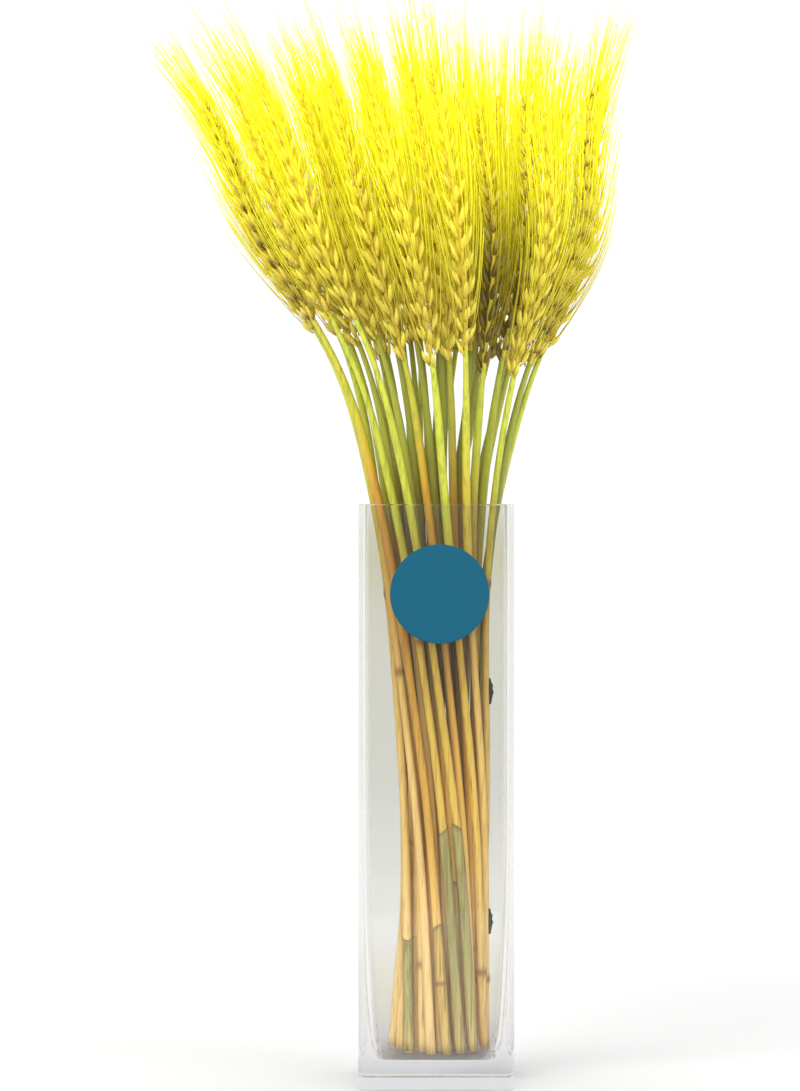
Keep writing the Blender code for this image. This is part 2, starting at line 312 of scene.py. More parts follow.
def tube_faces(rings, sides):
    """Quads of a tube's wall and triangles of its two end fans, whose centres are its last two points."""
    ring, side = np.meshgrid(np.arange(rings - 1), np.arange(sides), indexing="ij")
    following = (side + 1) % sides
    this_ring = ring * sides
    next_ring = (ring + 1) * sides
    wall = [this_ring + side, this_ring + following, next_ring + following, next_ring + side]
    quads = np.stack(wall, axis=-1).reshape(-1, 4)
    around = np.arange(sides)
    after = (around + 1) % sides
    start = np.full(sides, rings * sides)
    last = (rings - 1) * sides
    low = np.stack([after, around, start], axis=-1)
    high = np.stack([last + around, last + after, start + 1], axis=-1)
    return quads, np.vstack([low, high])


class Shells:
    """Gathers the closed shells of one piece, each with a material and its points' shading values."""

    def __init__(self):
        self.points = []
        self.quads = []
        self.triangles = []
        self.quad_materials = []
        self.triangle_materials = []
        self.along = []
        self.tone = []
        self.depth = []
        self.count = 0
        self.templates = {}

    def tube(self, rings, material=0, along=None, tone=0.5, start=None, end=None, depth=None):
        """A closed tube through rings of points.

        along has one value for each ring, and depth has one for each point.
        """
        count, sides = rings.shape[:2]
        if (count, sides) not in self.templates:
            self.templates[count, sides] = tube_faces(count, sides)
        quads, triangles = self.templates[count, sides]
        start = rings[0].mean(axis=0) if start is None else start
        end = rings[-1].mean(axis=0) if end is None else end
        along = np.zeros(count) if along is None else np.asarray(along, dtype=float)
        self.points.append(np.vstack([rings.reshape(-1, 3), start, end]))
        self.along.append(np.concatenate([np.repeat(along, sides), along[:1], along[-1:]]))
        self.tone.append(np.full(count * sides + 2, tone))
        depth = np.zeros(count * sides) if depth is None else depth.ravel()
        self.depth.append(np.concatenate([depth, depth[:1], depth[-1:]]))
        self.quads.append(quads + self.count)
        self.triangles.append(triangles + self.count)
        self.quad_materials.append(np.full(len(quads), material))
        self.triangle_materials.append(np.full(len(triangles), material))
        self.count += count * sides + 2

    def build(self, name, materials, hue=0.5):
        """Makes the object. hue is a shading value that all its points share."""
        quads = np.vstack(self.quads)
        triangles = np.vstack(self.triangles)
        corners = np.concatenate([quads.ravel(), triangles.ravel()])
        starts = np.concatenate([np.arange(len(quads)) * 4, quads.size + np.arange(len(triangles)) * 3])
        mesh = bpy.data.meshes.new(name)
        mesh.vertices.add(self.count)
        mesh.vertices.foreach_set("co", np.vstack(self.points).ravel())
        mesh.loops.add(len(corners))
        mesh.loops.foreach_set("vertex_index", corners.astype(np.int32))
        mesh.polygons.add(len(starts))
        mesh.polygons.foreach_set("loop_start", starts.astype(np.int32))
        slots = np.concatenate(self.quad_materials + self.triangle_materials)
        mesh.polygons.foreach_set("material_index", slots.astype(np.int32))
        mesh.update(calc_edges=True)
        mesh.shade_smooth()
        values = {"along": np.concatenate(self.along), "tone": np.concatenate(self.tone)}
        values.update(depth=np.concatenate(self.depth), hue=np.full(self.count, hue))
        for key, data in values.items():
            mesh.attributes.new(key, "FLOAT", "POINT").data.foreach_set("value", data)
        for material in materials:
            mesh.materials.append(material)
        piece = bpy.data.objects.new(name, mesh)
        bpy.context.scene.collection.objects.link(piece)
        return piece


def round_rings(centres, across, forward, radii, sides):
    """Circles about the centres, in the plane of the two directions at each."""
    angles = np.arange(sides) / sides * math.tau
    sideways = np.cos(angles)[None, :, None] * across[:, None, :]
    ahead = np.sin(angles)[None, :, None] * forward[:, None, :]
    return centres[:, None, :] + (sideways + ahead) * np.asarray(radii)[:, None, None]


# Wheat


def culm_radius(stalk, height):
    foot = FLOOR_HEIGHT + CLEARANCE
    share = (height - foot) / (stalk.base - foot)
    radius = CULM_FOOT_RADIUS + (CULM_NECK_RADIUS - CULM_FOOT_RADIUS) * share
    return radius * (1 + KNOT_SWELL * knot_nearness(stalk, height))


def knot_nearness(stalk, height):
    return np.exp(-(((height - stalk.knot) / KNOT_REACH) ** 2))


def depth_in_bunch(rings):
    """0 at the bunch's outside and 1 at its middle, for each point of the rings. It places the bunch's painted
    shade and light.
    """
    heights = rings[..., 2]
    bow = BOW_OFFSET * np.exp(-(((heights - BOW_HEIGHT) / BOW_REACH) ** 2))
    lean = LEAN_RATE * np.maximum(0.0, heights - LEAN_START) ** 2
    reach = np.hypot(rings[..., 0] - bow + lean, rings[..., 1])
    return np.clip(1 - reach / np.abs(spread(heights)), 0.0, 1.0)


def wrap_radius(heights, draw):
    """What the upper leaf sheath adds to the culm's radius."""
    low = draw.uniform(*WRAP_LOW)
    high = draw.uniform(*WRAP_HIGH)
    starting = 1 / (1 + np.exp((low - heights) / WRAP_EASE))
    ending = 1 / (1 + np.exp((heights - high) / WRAP_EASE))
    return draw.uniform(*WRAP_THICKNESS) * starting * ending


def add_culm(shells, stalk, tone, draw):
    foot = FLOOR_HEIGHT + CLEARANCE
    top = stalk.base + 3 * MM
    heights = np.linspace(foot, top, int((top - foot) / CULM_STEP))
    knot = stalk.knot + np.linspace(-2, 2, 9) * KNOT_REACH
    heights = heights[np.abs(heights - stalk.knot) > 2.5 * KNOT_REACH]
    heights = np.sort(np.concatenate([heights, knot]))
    centres, _, width, depth = stalk.frame(heights)
    radii = culm_radius(stalk, heights) + wrap_radius(heights, draw)
    rings = round_rings(centres, width, depth, radii, CULM_SIDES)
    rings[0, :, 2] = foot
    shells.tube(rings, 0, knot_nearness(stalk, heights), tone, depth=depth_in_bunch(rings))


def add_sheath(shells, stalk, low, high, tone, draw):
    """The rest of a leaf sheath about the culm, cut off at a slant."""
    heights = np.linspace(low, high, 2 + int((high - low) / CULM_STEP))
    centres, tangent, width, depth = stalk.frame(heights)
    rings = round_rings(centres, width, depth, culm_radius(stalk, heights) + SHEATH_THICKNESS, CULM_SIDES)
    slant = np.cos(np.arange(CULM_SIDES) / CULM_SIDES * math.tau + draw.uniform(0, math.tau))
    rings[-1] += tangent[-1] * (slant * SHEATH_CUT)[:, None]
    shells.tube(rings, 1, np.linspace(0, 1, len(heights)), tone, depth=depth_in_bunch(rings))


def add_scrap(shells, stalk, height, aim):
    """A dark torn scrap of leaf that clings to the culm's side and faces the front."""
    shares = np.linspace(0, 1, SCRAP_RINGS)
    heights = height + (shares - 0.5) * SCRAP_LENGTH
    centres, tangent, _, _ = stalk.frame(heights)
    out = np.array([math.cos(aim), math.sin(aim), 0.0])
    reach = culm_radius(stalk, heights) + SCRAP_LIFT * np.sin(math.pi * shares) ** 2
    face = np.array([math.cos(SCRAP_FACE), math.sin(SCRAP_FACE), 0.0])
    across = np.cross(tangent, face)
    slow, fast = SCRAP_TEETH_WAVES
    teeth = 1 + SCRAP_TEETH * (np.sin(slow * shares) + np.cos(fast * shares)) / 2
    half_width = SCRAP_WIDTH / 2 * teeth * np.sin(math.pi * (0.08 + 0.84 * shares)) ** 0.6
    angles = np.arange(SCRAP_SIDES) / SCRAP_SIDES * math.tau
    curl = SCRAP_CURL * half_width[:, None] * np.cos(angles) ** 2
    wide = across[:, None, :] * (half_width[:, None] * np.cos(angles))[..., None]
    thick = face * (SCRAP_THICKNESS / 2 * np.sin(angles) + curl)[..., None]
    rings = (centres + out * reach[:, None])[:, None, :] + wide + thick
    shells.tube(rings, 1, shares * 0.8, SCRAP_TONE)


def ear_size(share):
    """Relative size of the spikelets from the ear's base, 0, to its end, 1."""
    swelling = 1 - EAR_BASE_NARROWING * max(0.0, 1 - share / EAR_FULL_FROM) ** 2
    return swelling * (1 - max(0.0, share - EAR_TAPER_FROM))


def husk_section():
    """One husk's cross-section: a keel on the outer side and a flatter inner side."""
    angles = np.arange(HUSK_SIDES) / HUSK_SIDES * math.tau
    across = np.cos(angles)
    outward = np.where(np.sin(angles) > 0, np.sin(angles), HUSK_INNER_FLATNESS * np.sin(angles))
    keel = HUSK_SIDES // 4
    outward[keel] *= HUSK_KEEL
    across[[keel - 1, keel + 1]] *= HUSK_KEEL_PINCH
    return across, outward


HUSK_ACROSS, HUSK_OUTWARD = husk_section()
HUSK_SHARES = np.array([0.03, 0.14, 0.30, 0.47, 0.65, 0.82, 0.96])
HUSK_PROFILE = np.sin(np.pi * HUSK_SHARES ** 0.78) ** 0.72


def add_husk(shells, base, axis, outward, size, tone):
    """One boat-shaped husk. Returns its tip."""
    side = np.cross(axis, outward)
    length = HUSK_LENGTH * size
    bulge = np.sin(np.pi * HUSK_SHARES) * HUSK_BULGE * size
    centres = base + axis * (HUSK_SHARES * length)[:, None] + outward * bulge[:, None]
    half_width = (HUSK_PROFILE * HUSK_WIDTH * size)[:, None, None]
    half_depth = (HUSK_PROFILE * HUSK_DEPTH * size)[:, None, None]
    rings = centres[:, None, :] + side * HUSK_ACROSS[None, :, None] * half_width
    rings = rings + outward * HUSK_OUTWARD[None, :, None] * half_depth
    tip = base + axis * length
    shells.tube(rings, 2, HUSK_SHARES, tone, start=base, end=tip)
    return tip


def add_awn(shells, stalk, tip, axis, outward, length, lean, curl, tone):
    """A fine bristle that leaves the husk along its axis and then follows the ear."""
    shares = np.linspace(0, 1, AWN_RINGS) ** 1.15
    tangent = stalk.frame(tip[2])[1]
    start = tip - axis * AWN_SINK
    heights = start[2] + shares * length * tangent[2]
    offset = start - stalk.at(start[2])
    ease = 1 - np.exp(-shares / AWN_EASE)
    away = shares * length * math.tan(lean) + ease * AWN_STAND_OFF
    side = np.cross(tangent, outward)
    bend = curl * length * shares**2
    centres = stalk.at(heights) + offset + outward * away[:, None] + side * bend[:, None]
    along = unit(np.gradient(centres, axis=0))
    across = unit(np.cross(along, outward))
    radii = AWN_RADIUS[0] + (AWN_RADIUS[1] - AWN_RADIUS[0]) * shares**0.8
    rings = round_rings(centres, across, np.cross(across, along), radii, AWN_SIDES)
    shells.tube(rings, 3, shares, tone)


def add_spikelet(shells, stalk, number, draw):
    """Six husks on one side of the ear, with their bristles."""
    share = (number + 0.3) / SPIKELETS
    side = 1 if number % 2 else -1
    size = ear_size(share)
    centre, tangent, width, depth = stalk.frame(stalk.base + stalk.rise * share)
    turn = draw.uniform(-SPIKELET_TURN, SPIKELET_TURN)
    out = unit(width * math.cos(turn) + depth * math.sin(turn)) * side
    across = np.cross(tangent, out)
    tone = draw.random()
    for floret in FLORETS:
        aim = math.radians(floret["aim"] + draw.uniform(-HUSK_AIM_JITTER, HUSK_AIM_JITTER))
        lean = math.radians(floret["lean"] + draw.uniform(-HUSK_LEAN_JITTER, HUSK_LEAN_JITTER))
        outward = out * math.cos(aim) + across * math.sin(aim)
        axis = tangent * math.cos(lean) + outward * math.sin(lean)
        face = outward * math.cos(lean) - tangent * math.sin(lean)
        place = out * floret["out"] + across * floret["across"] + tangent * floret["rise"]
        base = centre + place * MM * size
        husk_size = floret["size"] * size * draw.uniform(*HUSK_SIZES)
        husk_tone = tone + draw.uniform(-HUSK_TONE_JITTER, HUSK_TONE_JITTER)
        # The ear's painted shade raises the tone, which the husk and bristle paints turn dark
        husk_tone = min(1.0, max(0.0, husk_tone)) + stalk.ear_shade
        tip = add_husk(shells, base, axis, face, husk_size, husk_tone)
        awn = floret["awn"] or (GLUME_AWN if share > GLUME_AWNS_FROM else 0.0)
        if awn:
            length = draw.uniform(*AWN_LENGTH) * (1 - AWN_SHORTENING * share) * awn
            widest = AWN_LEAN[0] + (AWN_LEAN[1] - AWN_LEAN[0]) * share
            awn_lean = widest + draw.uniform(-1, 0.6) * AWN_LEAN_JITTER
            curl = draw.uniform(-AWN_CURL, AWN_CURL)
            # The ear's painted shade darkens the bristles too
            awn_tone = draw.random() + stalk.ear_shade
            add_awn(shells, stalk, tip, axis, outward, length, awn_lean, curl, awn_tone)


def add_ear_end(shells, stalk, draw):
    """The last spikelet points on along the ear."""
    centre, tangent, width, depth = stalk.frame(stalk.base + stalk.rise)
    size = ear_size(1.0)
    for turn, degrees in END_HUSKS:
        lean = math.radians(degrees)
        outward = width * math.cos(turn) + depth * math.sin(turn)
        axis = tangent * math.cos(lean) + outward * math.sin(lean)
        face = outward * math.cos(lean) - tangent * math.sin(lean)
        base = centre - tangent * END_HUSK_SINK + outward * END_HUSK_REACH
        tip = add_husk(shells, base, axis, face, size, draw.random())
        length = draw.uniform(*AWN_LENGTH) * END_AWN_SHARE
        add_awn(shells, stalk, tip, axis, outward, length, END_AWN_LEAN, 0.0, draw.random())


def add_rachis(shells, stalk):
    """The ear's inner stem, which zigzags between the two rows of spikelets."""
    heights = np.linspace(stalk.base - 2 * MM, stalk.base + stalk.rise, SPIKELETS + 1)
    centres, _, width, depth = stalk.frame(heights)
    zigzag = np.where(np.arange(len(heights)) % 2, 1, -1) * RACHIS_ZIGZAG
    radii = np.linspace(*RACHIS_RADIUS, len(heights))
    rings = round_rings(centres + width * zigzag[:, None], width, depth, radii, RACHIS_SIDES)
    shells.tube(rings, 2, np.full(len(heights), 0.3), 0.2)


def front_stalk(stalks, place, height):
    """The stalk that stands in front at a place across the front and a height."""

    def distance(stalk):
        x, y, _ = stalk.at(height)
        return abs(x - place) + FRONT_WEIGHT * y

    return min(stalks, key=distance)


def dress_stalks(stalks):
    """Gives the stalks in front the sheaths, leaf scraps and the ears' painted shade that the photograph shows
    there.
    """
    bare = list(stalks)
    for place, height in SHOWN_SHEATHS:
        stalk = front_stalk(bare, place, height)
        stalk.sheath_top = height
        bare.remove(stalk)
    for place, height, aim in SCRAPS:
        front_stalk(stalks, place, height).scraps.append((height, aim))
    for place, height, ear_shade in SHADE_PAINTED_EARS:
        front_stalk(stalks, place, height).ear_shade = ear_shade


def make_stalk(stalk, materials):
    draw = random.Random(PATTERN_SEED * 100 + stalk.number)
    hue = min(1.0, max(0.0, 0.5 + SIDE_HUE * stalk.sideways + draw.uniform(-1, 1) * HUE_JITTER))
    shells = Shells()
    add_culm(shells, stalk, draw.random(), draw)
    low = FLOOR_HEIGHT + 1 * MM
    if stalk.sheath_top:
        add_sheath(shells, stalk, low, stalk.sheath_top, GREEN_SHEATH, draw)
    elif draw.random() < SHEATH_SHARE:
        add_sheath(shells, stalk, low, low + draw.uniform(*SHEATH_LENGTH), draw.random(), draw)
    for height, aim in stalk.scraps:
        add_scrap(shells, stalk, height, aim)
    add_rachis(shells, stalk)
    for number in range(SPIKELETS):
        add_spikelet(shells, stalk, number, draw)
    add_ear_end(shells, stalk, draw)
    name = f"wheat_stalk_{stalk.number:02d}"
    piece = shells.build("fine_" + name, materials, hue)
    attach(piece, "root")
    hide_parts(name)


# Vase


def rounded_square(half_width, corner, height):
    """Corners of a rounded square at one height, anticlockwise from above."""
    points = []
    for quarter in range(4):
        turn = quarter * math.pi / 2
        centre = cmath.rect(1, turn) * complex(half_width - corner, half_width - corner)
        for step in range(CORNER_STEPS + 1):
            point = centre + cmath.rect(corner, turn + step / CORNER_STEPS * math.pi / 2)
            points.append((point.real, point.imag, height))
    return points


def quarter_round(height, half_width, rise, inset):
    """A quarter round from a level edge to an upright one, as heights and half widths."""
    points = []
    for step in range(ROUND_STEPS + 1):
        angle = step / ROUND_STEPS * math.pi / 2
        points.append((height + rise * (1 - math.cos(angle)), half_width + inset * math.sin(angle)))
    return points


def cut_corners(points, rounds):
    """Rounds off a line of points, and keeps its ends."""
    for _ in range(rounds):
        cut = [points[0]]
        for (z0, w0), (z1, w1) in zip(points, points[1:]):
            cut.append((0.75 * z0 + 0.25 * z1, 0.75 * w0 + 0.25 * w1))
            cut.append((0.25 * z0 + 0.75 * z1, 0.25 * w0 + 0.75 * w1))
        points = cut + [points[-1]]
    return points


def make_vase(material):
    """Up the outside, over the rim and down the cavity to its floor."""
    half = VASE_WIDTH / 2
    inner = CAVITY[0][1]
    outside = quarter_round(0.0, half - FOOT_ROUND, FOOT_ROUND, FOOT_ROUND)
    over = [(z, w) for z, w in reversed(quarter_round(VASE_HEIGHT, half - RIM_ROUND, -RIM_ROUND, RIM_ROUND))]
    back = quarter_round(VASE_HEIGHT, inner + RIM_ROUND, -RIM_ROUND, -RIM_ROUND)
    outline = [(z, w, VASE_CORNER - (half - w)) for z, w in outside + over]
    inner_corner = VASE_CORNER - VASE_WALL
    outline += [(z, w, inner_corner + (w - inner)) for z, w in back[:-1]]
    outline += [(z, w, inner_corner + (inner - w)) for z, w in cut_corners(CAVITY, CAVITY_ROUNDS)]
    outline += [(z, w, w * 0.5) for z, w in FLOOR_RINGS]
    rings = np.array([rounded_square(w, corner, z) for z, w, corner in outline])
    shells = Shells()
    shells.tube(rings)
    piece = shells.build("fine_vase", [material])
    smooth = piece.modifiers.new("even_faces", "WEIGHTED_NORMAL")
    smooth.mode = "FACE_AREA"
    smooth.weight = 80
    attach(piece, "root")
    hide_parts("vase")
    return piece


def make_label(material):
    """A thin paper disc with a soft edge, flush with the front face."""
    back = -VASE_WIDTH / 2 - LABEL_GAP
    x, z = LABEL_CENTRE
    outline = [(0.0, 0.97), (0.0, 0.998), (0.35, 1.0), (0.8, 0.998), (1.0, 0.992)]
    outline += [(1.0, share) for share in np.linspace(0.9, 0.1, LABEL_RINGS)]
    rings = []
    for depth, reach in outline:
        turns = np.arange(LABEL_SIDES) / LABEL_SIDES * math.tau
        circle = np.stack(
            [
                x + LABEL_RADIUS * reach * np.cos(turns),
                np.full(LABEL_SIDES, back - LABEL_THICKNESS * depth),
                z + LABEL_RADIUS * reach * np.sin(turns),
            ],
            axis=-1,
        )
        rings.append(circle)
    shells = Shells()
    shells.tube(np.array(rings))
    piece = shells.build("fine_label", [material])
    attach(piece, "root")
    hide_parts("label")


# Materials


class Paint:
    """A material, and a short way to add nodes to it."""

    def __init__(self, name):
        self.material = bpy.data.materials.new(name)
        self.material.use_nodes = True
        self.tree = self.material.node_tree
        self.shader = self.tree.nodes["Principled BSDF"]

    def set(self, **values):
        """Fixed values on the shader's own sockets, with underscores for spaces."""
        for key, value in values.items():
            self.shader.inputs[key.replace("_", " ")].default_value = value

    def link(self, value, socket):
        if isinstance(value, bpy.types.NodeSocket):
            self.tree.links.new(value, socket)
        else:
            socket.default_value = value

    def math(self, operation, first, second=0.0):
        node = self.tree.nodes.new("ShaderNodeMath")
        node.operation = operation
        node.use_clamp = operation not in ("POWER", "SUBTRACT")
        self.link(first, node.inputs[0])
        self.link(second, node.inputs[1])
        return node.outputs[0]

    def value(self, name):
        node = self.tree.nodes.new("ShaderNodeAttribute")
        node.attribute_name = name
        return node.outputs["Fac"]

    def place(self, axis, low, high):
        """0 at the low place along an axis and 1 at the high one."""
        place = self.tree.nodes.new("ShaderNodeTexCoord")
        split = self.tree.nodes.new("ShaderNodeSeparateXYZ")
        self.tree.links.new(place.outputs["Object"], split.inputs[0])
        return self.span(split.outputs[axis], low, high)

    def height(self, low, high):
        return self.place("Z", low, high)

    def span(self, value, low, high):
        node = self.tree.nodes.new("ShaderNodeMapRange")
        node.clamp = True
        self.link(value, node.inputs["Value"])
        node.inputs["From Min"].default_value = low
        node.inputs["From Max"].default_value = high
        return node.outputs["Result"]

    def noise(self, scale, stretch=(1, 1, 1), detail=3.0, roughness=0.55):
        """Noise over the object's own coordinates, scale in repeats per metre."""
        place = self.tree.nodes.new("ShaderNodeTexCoord")
        mapping = self.tree.nodes.new("ShaderNodeMapping")
        mapping.inputs["Scale"].default_value = stretch
        noise = self.tree.nodes.new("ShaderNodeTexNoise")
        noise.inputs["Scale"].default_value = scale
        noise.inputs["Detail"].default_value = detail
        noise.inputs["Roughness"].default_value = roughness
        self.tree.links.new(place.outputs["Object"], mapping.inputs["Vector"])
        self.tree.links.new(mapping.outputs["Vector"], noise.inputs["Vector"])
        return noise.outputs["Fac"]

    def ramp(self, value, *stops):
        """Colours at places from 0 to 1, as (place, colour)."""
        node = self.tree.nodes.new("ShaderNodeValToRGB")
        elements = node.color_ramp.elements
        while len(elements) < len(stops):
            elements.new(1.0)
        for element, (place, colour) in zip(elements, stops):
            element.position = place
            element.color = (*linear(colour), 1.0)
        self.link(value, node.inputs["Fac"])
        return node.outputs["Color"]

    def mix(self, share, first, second):
        node = self.tree.nodes.new("ShaderNodeMix")
        node.data_type = "RGBA"
        self.link(share, node.inputs["Factor"])
        for value, socket in ((first, node.inputs["A"]), (second, node.inputs["B"])):
            colour = value if isinstance(value, bpy.types.NodeSocket) else (*linear(value), 1.0)
            self.link(colour, [s for s in node.inputs if s.name == socket.name and s.type == "RGBA"][0])
        return [s for s in node.outputs if s.type == "RGBA"][0]

    def bump(self, height, depth, strength=1.0):
        node = self.tree.nodes.new("ShaderNodeBump")
        node.inputs["Strength"].default_value = strength
        node.inputs["Distance"].default_value = depth
        self.link(height, node.inputs["Height"])
        self.tree.links.new(node.outputs["Normal"], self.shader.inputs["Normal"])

    def painted_bunch_shading(self, colour):
        """Painted shade and light in the bunch's middle: pale straw low down, brown in the vase's upper half,
        dark olive above the rim.

        The brown and the dark olive are painted shade, which stands in for the shade inside a denser bunch. The
        pale straw low down is painted light, which lightens the stalks seen in the gaps between the front ones.
        """
        inner = self.ramp(
            self.height(90 * MM, 340 * MM),
            (0.0, (250, 210, 136)),
            (0.25, (196, 146, 62)),
            (0.45, (96, 68, 24)),
            (0.8, (90, 70, 24)),
            (1.0, (126, 128, 42)),
        )
        share = self.math("MULTIPLY", self.span(self.value("depth"), 0.06, 0.4), 0.75)
        return self.mix(share, colour, inner)

    def colour(self, value):
        self.link(value, self.shader.inputs["Base Color"])


def linear(colour):
    """A colour given as 0 to 255 on screen, as the renderer's linear values."""
    return tuple((c / 255 / 12.92) if c <= 10 else ((c / 255 + 0.055) / 1.055) ** 2.4 for c in colour)


def culm_paint():
    paint = Paint("dried_straw")
    height = paint.height(15 * MM, 390 * MM)
    orange = paint.ramp(
        height,
        (0.0, (243, 204, 132)),
        (0.35, (240, 192, 84)),
        (0.6, (204, 148, 36)),
        (0.78, (196, 146, 38)),
        (0.9, (186, 178, 50)),
        (1.0, (196, 190, 60)),
    )
    green = paint.ramp(
        height,
        (0.0, (240, 206, 138)),
        (0.35, (230, 194, 88)),
        (0.6, (186, 154, 46)),
        (0.74, (174, 178, 54)),
        (1.0, (190, 196, 62)),
    )
    olive = paint.ramp(
        height,
        (0.0, (226, 204, 136)),
        (0.35, (206, 184, 98)),
        (0.6, (138, 134, 66)),
        (0.8, (128, 138, 52)),
        (1.0, (160, 166, 60)),
    )
    hue = paint.value("hue")
    colour = paint.mix(paint.span(hue, 0.18, 0.4), orange, green)
    colour = paint.mix(paint.span(hue, 0.78, 0.92), colour, olive)
    tone = paint.value("tone")
    brown = paint.math("MULTIPLY", paint.span(tone, 0.3, 0.0), paint.height(90 * MM, 200 * MM))
    brown = paint.math("MULTIPLY", brown, paint.height(330 * MM, 290 * MM))
    colour = paint.mix(paint.math("MULTIPLY", brown, 0.6), colour, (152, 104, 40))
    streaks = paint.noise(800, (1, 1, 0.006))
    streak_colour = paint.mix(paint.height(280 * MM, 330 * MM), (150, 104, 40), (128, 138, 40))
    colour = paint.mix(paint.span(streaks, 0.48, 0.78), colour, streak_colour)
    blotches = paint.noise(60, (1, 1, 0.25))
    blotch_colour = paint.mix(paint.height(280 * MM, 330 * MM), (176, 126, 46), (150, 156, 40))
    colour = paint.mix(paint.math("MULTIPLY", paint.span(blotches, 0.52, 0.75), 0.5), colour, blotch_colour)
    pale = paint.math("MULTIPLY", paint.span(tone, 0.65, 0.95), paint.height(300 * MM, 160 * MM))
    colour = paint.mix(paint.math("MULTIPLY", pale, 0.45), colour, (244, 212, 150))
    colour = paint.mix(paint.math("MULTIPLY", paint.value("along"), 0.75), colour, (112, 74, 34))
    paint.colour(paint.painted_bunch_shading(colour))
    paint.set(Roughness=0.42, Specular_IOR_Level=0.5)
    paint.bump(streaks, 0.12 * MM, 0.5)
    return paint.material


def sheath_paint():
    paint = Paint("leaf_sheath")
    tone = paint.value("tone")
    base = paint.ramp(
        tone,
        (0.0, (222, 182, 100)),
        (0.45, (198, 176, 98)),
        (0.75, (176, 166, 104)),
        (1.0, (222, 180, 92)),
    )
    base = paint.mix(paint.span(paint.value("along"), 0.35, 0.0), base, (212, 186, 118))
    streaks = paint.noise(900, (1, 1, 0.006))
    colour = paint.mix(paint.span(streaks, 0.42, 0.72), base, (122, 112, 60))
    colour = paint.mix(paint.span(paint.value("along"), 0.97, 1.0), colour, (138, 118, 70))
    colour = paint.mix(paint.span(tone, 1.2, 1.8), colour, (40, 44, 28))
    paint.colour(paint.painted_bunch_shading(colour))
    paint.set(Roughness=0.55)
    paint.bump(streaks, 0.15 * MM, 0.6)
    return paint.material


def ear_paint():
    paint = Paint("wheat_husk")
    along = paint.value("along")
    tone = paint.value("tone")
    # Husks darker towards the base: partly their own brown and partly painted shade between the spikelets
    body = paint.ramp(
        along,
        (0.0, (158, 128, 42)),
        (0.15, (194, 172, 56)),
        (0.5, (214, 196, 66)),
        (1.0, (228, 214, 82)),
    )
    # Painted light: the husks turn bright yellow towards the ears' tops
    painted_top_light = paint.ramp(along, (0.0, (222, 186, 34)), (0.2, (248, 226, 46)), (1.0, (255, 248, 60)))
    high = paint.height(405 * MM, 480 * MM)
    colour = paint.mix(high, body, painted_top_light)
    # Duller husks by their random tone, and fully dull on the ears with painted shade
    dull_and_shade = paint.math("MULTIPLY", paint.span(tone, 0.55, 1.0), 0.45)
    colour = paint.mix(dull_and_shade, colour, (206, 180, 76))
    olive = paint.math("MULTIPLY", paint.span(paint.value("hue"), 0.6, 0.95), 0.3)
    colour = paint.mix(olive, colour, (190, 190, 60))
    nerves = paint.noise(1500, (1, 1, 0.12))
    flecks = paint.math("MULTIPLY", paint.span(nerves, 0.52, 0.74), paint.height(500 * MM, 380 * MM))
    colour = paint.mix(paint.math("MULTIPLY", flecks, 0.4), colour, (160, 128, 36))
    # Painted shade: dark husk bases on the ears with painted shade
    husk_base_shade = paint.math("MULTIPLY", paint.span(tone, 0.95, 1.3), paint.span(along, 0.5, 0.1))
    colour = paint.mix(paint.math("MULTIPLY", husk_base_shade, 0.8), colour, (96, 66, 22))
    # Painted shade: the ears with painted shade turn dark low down, fading out upwards
    painted_ear_shade = paint.math("MULTIPLY", paint.span(tone, *EAR_SHADE_TONES), paint.height(*EAR_SHADE_HEIGHTS))
    colour = paint.mix(paint.math("MULTIPLY", painted_ear_shade, 0.9), colour, (74, 60, 16))
    paint.colour(colour)
    paint.set(Roughness=0.5)
    paint.bump(nerves, 0.18 * MM, 0.6)
    return paint.material


def awn_paint():
    paint = Paint("wheat_bristle")
    along = paint.value("along")
    # Painted shade and light: the bristles are duller low in the ears and bright yellow high up
    low = paint.ramp(along, (0.0, (200, 182, 56)), (1.0, (228, 216, 60)))
    high = paint.ramp(along, (0.0, (250, 236, 30)), (0.4, (255, 252, 34)), (1.0, (255, 252, 60)))
    colour = paint.mix(paint.height(400 * MM, 475 * MM), low, high)
    rough = paint.noise(1200, (1, 1, 0.2))
    colour = paint.mix(paint.math("MULTIPLY", paint.span(rough, 0.55, 0.8), 0.25), colour, (222, 194, 40))
    # Painted shade: the bristles of the ears with painted shade turn dark low down
    dull_and_shade = paint.span(paint.value("tone"), *EAR_SHADE_TONES)
    dull_and_shade = paint.math("MULTIPLY", dull_and_shade, paint.height(*EAR_SHADE_HEIGHTS))
    colour = paint.mix(paint.math("MULTIPLY", dull_and_shade, 0.7), colour, (112, 98, 30))
    paint.colour(colour)
    paint.set(Roughness=0.6, Specular_IOR_Level=0.15)
    return paint.material


